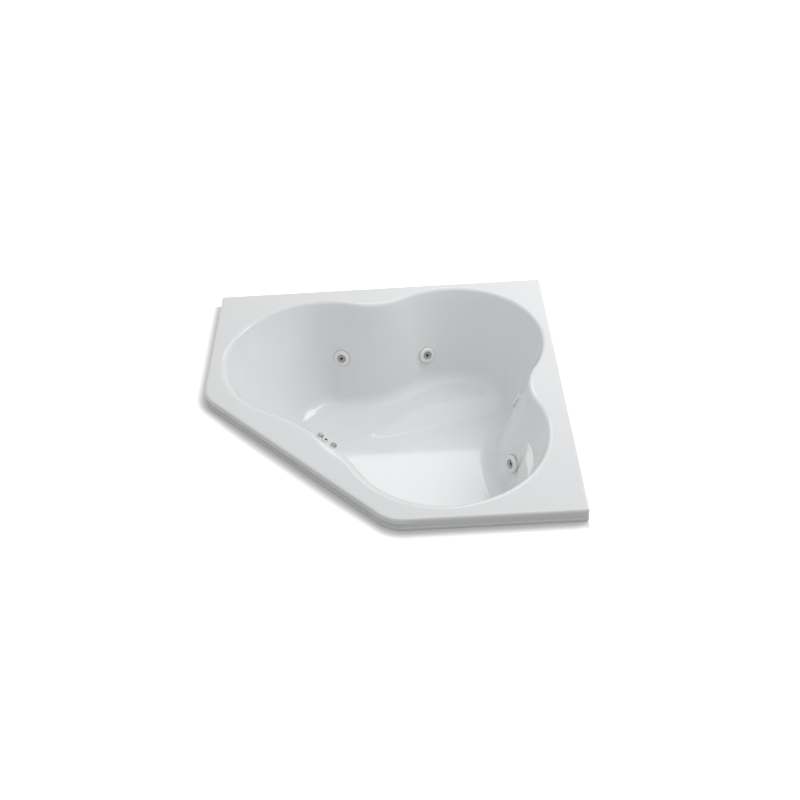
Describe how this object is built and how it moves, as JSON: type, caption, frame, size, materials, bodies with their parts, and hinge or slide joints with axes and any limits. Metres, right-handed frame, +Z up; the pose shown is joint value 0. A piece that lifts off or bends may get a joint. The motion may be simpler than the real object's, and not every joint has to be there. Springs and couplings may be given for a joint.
{
  "type": "jetted corner bathtub",
  "caption": "Corner drop-in jetted bathtub with a three-lobed basin, wall jets, front air controls, waste and overflow, and a pump on its base board.",
  "frame": {"origin": "centre of the bounding box at floor level, under the feet", "axes": "+Z up; +X along the rim side whose wall is at the back, to the right; +Y towards that wall, so the square room corner is at +X +Y and the diagonal front faces -X -Y"},
  "size_m": [1.372, 1.372, 0.527],
  "materials": {
    "acrylic": "smooth glossy white acrylic",
    "plywood": "raw plywood",
    "feet": "moulded plastic",
    "batten_wood": "raw timber",
    "body_plastic": "moulded plastic",
    "seal_rubber": "matt rubber",
    "fitting_plastic": "glossy moulded plastic",
    "nozzle_metal": "smooth grey plastic",
    "screw_steel": "bare stainless steel",
    "pipe_plastic": "extruded plastic",
    "union_plastic": "moulded plastic",
    "air_vinyl": "clear-grey vinyl",
    "control_metal": "polished chrome plate",
    "button_plastic": "glossy black plastic",
    "bracket_paint": "painted steel",
    "seal_plate_plastic": "moulded plastic",
    "motor_paint": "painted aluminium",
    "copper_winding": "lacquered copper winding",
    "shaft_steel": "turned steel",
    "fan_plastic": "moulded plastic"
  },
  "bodies": {
    "tub": {"tub_shell": "acrylic", "base_board": "plywood", "support_feet": "feet", "rim_battens": "batten_wood", "jet_bodies": "body_plastic", "jet_gaskets": "seal_rubber", "jet_wall_fittings": "fitting_plastic", "suction_cover": "fitting_plastic", "suction_body": "body_plastic", "suction_gasket": "seal_rubber", "suction_screws": "screw_steel", "water_pipe_1": "pipe_plastic", "water_pipe_2": "pipe_plastic", "water_pipe_3": "pipe_plastic", "water_pipe_4": "pipe_plastic", "water_pipe_5": "pipe_plastic", "water_pipe_6": "pipe_plastic", "feed_tee": "body_plastic", "discharge_union": "union_plastic", "suction_pipe": "pipe_plastic", "air_tubes_left": "air_vinyl", "air_tubes_right": "air_vinyl", "air_control_bodies": "body_plastic", "fitting_nuts": "body_plastic", "button_housing": "fitting_plastic", "switch_tube": "air_vinyl", "pump_base": "bracket_paint", "pump_pads": "seal_rubber", "pump_screws": "screw_steel", "volute": "union_plastic", "seal_plate": "seal_plate_plastic", "motor_shell": "motor_paint", "stator": "copper_winding", "fan_cover": "motor_paint", "terminal_box": "union_plastic", "cable_gland": "fan_plastic", "drain_flange": "control_metal", "overflow_plate": "control_metal", "waste_pipe": "pipe_plastic"},
    "ring_1": {"jet_ring_1": "fitting_plastic"},
    "nozzle_1": {"jet_nozzle_1": "nozzle_metal"},
    "ring_2": {"jet_ring_2": "fitting_plastic"},
    "nozzle_2": {"jet_nozzle_2": "nozzle_metal"},
    "ring_3": {"jet_ring_3": "fitting_plastic"},
    "nozzle_3": {"jet_nozzle_3": "nozzle_metal"},
    "ring_4": {"jet_ring_4": "fitting_plastic"},
    "nozzle_4": {"jet_nozzle_4": "nozzle_metal"},
    "ring_5": {"jet_ring_5": "fitting_plastic"},
    "nozzle_5": {"jet_nozzle_5": "nozzle_metal"},
    "ring_6": {"jet_ring_6": "fitting_plastic"},
    "nozzle_6": {"jet_nozzle_6": "nozzle_metal"},
    "left_air_control": {"left_air_knob": "control_metal"},
    "right_air_control": {"right_air_knob": "control_metal"},
    "button": {"air_button": "button_plastic"},
    "overflow_control": {"overflow_knob": "control_metal"},
    "stopper": {"drain_stopper": "control_metal"},
    "pump_rotor": {"impeller": "seal_plate_plastic", "rotor_shaft": "shaft_steel", "cooling_fan": "fan_plastic"}
  },
  "joints": [
    {"name": "ring_turn_1", "type": "hinge", "parent": "tub", "child": "ring_1", "pos_m": [-0.18271, 0.51598, 0.28009], "axis": [-0.2513, -0.9207, 0.2986], "range_deg": [0, 90]},
    {"name": "nozzle_tilt_1", "type": "hinge", "parent": "ring_1", "child": "nozzle_1", "pos_m": [-0.18069, 0.52335, 0.2777], "axis": [0.9647, -0.2633, 0], "range_deg": [-12, 12]},
    {"name": "ring_turn_2", "type": "hinge", "parent": "tub", "child": "ring_2", "pos_m": [0.18385, 0.54271, 0.25], "axis": [0.3332, -0.8908, 0.309], "range_deg": [0, 90]},
    {"name": "nozzle_tilt_2", "type": "hinge", "parent": "ring_2", "child": "nozzle_2", "pos_m": [0.18119, 0.54983, 0.24753], "axis": [0.9366, 0.3503, 0], "range_deg": [-12, 12]},
    {"name": "ring_turn_3", "type": "hinge", "parent": "tub", "child": "ring_3", "pos_m": [0.54226, 0.13989, 0.305], "axis": [-0.8357, 0.454, 0.309], "range_deg": [0, 90]},
    {"name": "nozzle_tilt_3", "type": "hinge", "parent": "ring_3", "child": "nozzle_3", "pos_m": [0.54894, 0.13626, 0.30253], "axis": [-0.4774, -0.8787, 0], "range_deg": [-12, 12]},
    {"name": "ring_turn_4", "type": "hinge", "parent": "tub", "child": "ring_4", "pos_m": [0.4873, -0.15297, 0.23591], "axis": [-0.8677, -0.394, 0.3029], "range_deg": [0, 90]},
    {"name": "nozzle_tilt_4", "type": "hinge", "parent": "ring_4", "child": "nozzle_4", "pos_m": [0.49424, -0.14982, 0.23349], "axis": [0.4135, -0.9105, 0], "range_deg": [-12, 12]},
    {"name": "ring_turn_5", "type": "hinge", "parent": "tub", "child": "ring_5", "pos_m": [-0.00199, -0.41842, 0.26525], "axis": [0.5273, 0.7925, 0.3065], "range_deg": [0, 90]},
    {"name": "nozzle_tilt_5", "type": "hinge", "parent": "ring_5", "child": "nozzle_5", "pos_m": [-0.00621, -0.42476, 0.26279], "axis": [-0.8326, 0.5539, 0], "range_deg": [-12, 12]},
    {"name": "ring_turn_6", "type": "hinge", "parent": "tub", "child": "ring_6", "pos_m": [-0.41842, -0.00199, 0.26525], "axis": [0.7925, 0.5273, 0.3065], "range_deg": [0, 90]},
    {"name": "nozzle_tilt_6", "type": "hinge", "parent": "ring_6", "child": "nozzle_6", "pos_m": [-0.42476, -0.00621, 0.26279], "axis": [-0.5539, 0.8326, 0], "range_deg": [-12, 12]},
    {"name": "left_air_turn", "type": "hinge", "parent": "tub", "child": "left_air_control", "pos_m": [-0.22976, -0.24309, 0.51101], "axis": [0.4782, 0.4681, 0.7431], "range_deg": [0, 120]},
    {"name": "right_air_turn", "type": "hinge", "parent": "tub", "child": "right_air_control", "pos_m": [-0.18001, -0.29839, 0.51101], "axis": [0.5159, 0.4261, 0.7431], "range_deg": [0, 120]},
    {"name": "button_press", "type": "slide", "parent": "tub", "child": "button", "axis": [-0.4944, -0.4509, -0.7431], "range_m": [0, 0.003], "stiffness_N_per_m": 300},
    {"name": "overflow_turn", "type": "hinge", "parent": "tub", "child": "overflow_control", "pos_m": [-0.21825, -0.21837, 0.41], "axis": [0.698, 0.6979, 0.1603], "range_deg": [0, 90]},
    {"name": "stopper_lift", "type": "slide", "parent": "tub", "child": "stopper", "axis": [0, 0, 1], "range_m": [0, 0.012]},
    {"name": "pump_spin", "type": "hinge", "parent": "tub", "child": "pump_rotor", "pos_m": [-0.57521, 0.44526, 0.175], "axis": [0, 1, 0], "continuous": true}
  ],
  "couplings": [
    {"joint": "stopper_lift", "follows": "overflow_turn", "m_per_rad": 0.007639}
  ]
}
